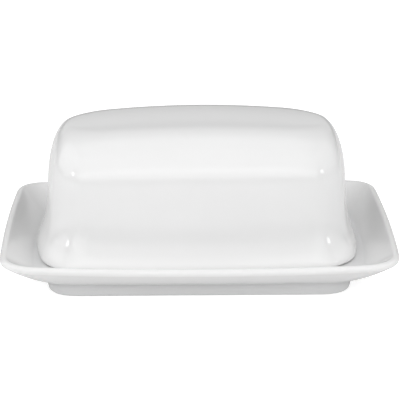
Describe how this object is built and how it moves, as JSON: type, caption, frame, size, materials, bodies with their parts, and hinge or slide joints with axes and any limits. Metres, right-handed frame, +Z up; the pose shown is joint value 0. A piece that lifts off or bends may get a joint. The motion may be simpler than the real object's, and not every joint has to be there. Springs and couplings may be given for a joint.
{
  "type": "butter dish",
  "caption": "Long porcelain tray with raised ends on a foot ring, and a loose hollow domed cover that stands in its well.",
  "frame": {"origin": "middle of the foot ring's underside, on the surface that the dish stands on", "axes": "+X along the dish, +Y to its back, +Z up, the way the cover lifts off"},
  "size_m": [0.195, 0.135, 0.0775],
  "materials": {
    "tray_porcelain": "clear gloss glaze over white porcelain, bare on the foot's flat",
    "cover_porcelain": "clear gloss glaze over white porcelain, bare on the lip's flat"
  },
  "bodies": {
    "tray": {"tray": "tray_porcelain"},
    "cover": {"cover": "cover_porcelain"}
  },
  "joints": [
    {"name": "cover_lift", "type": "slide", "parent": "tray", "child": "cover", "axis": [0, 0, 1], "range_m": [0, 0.12]}
  ]
}
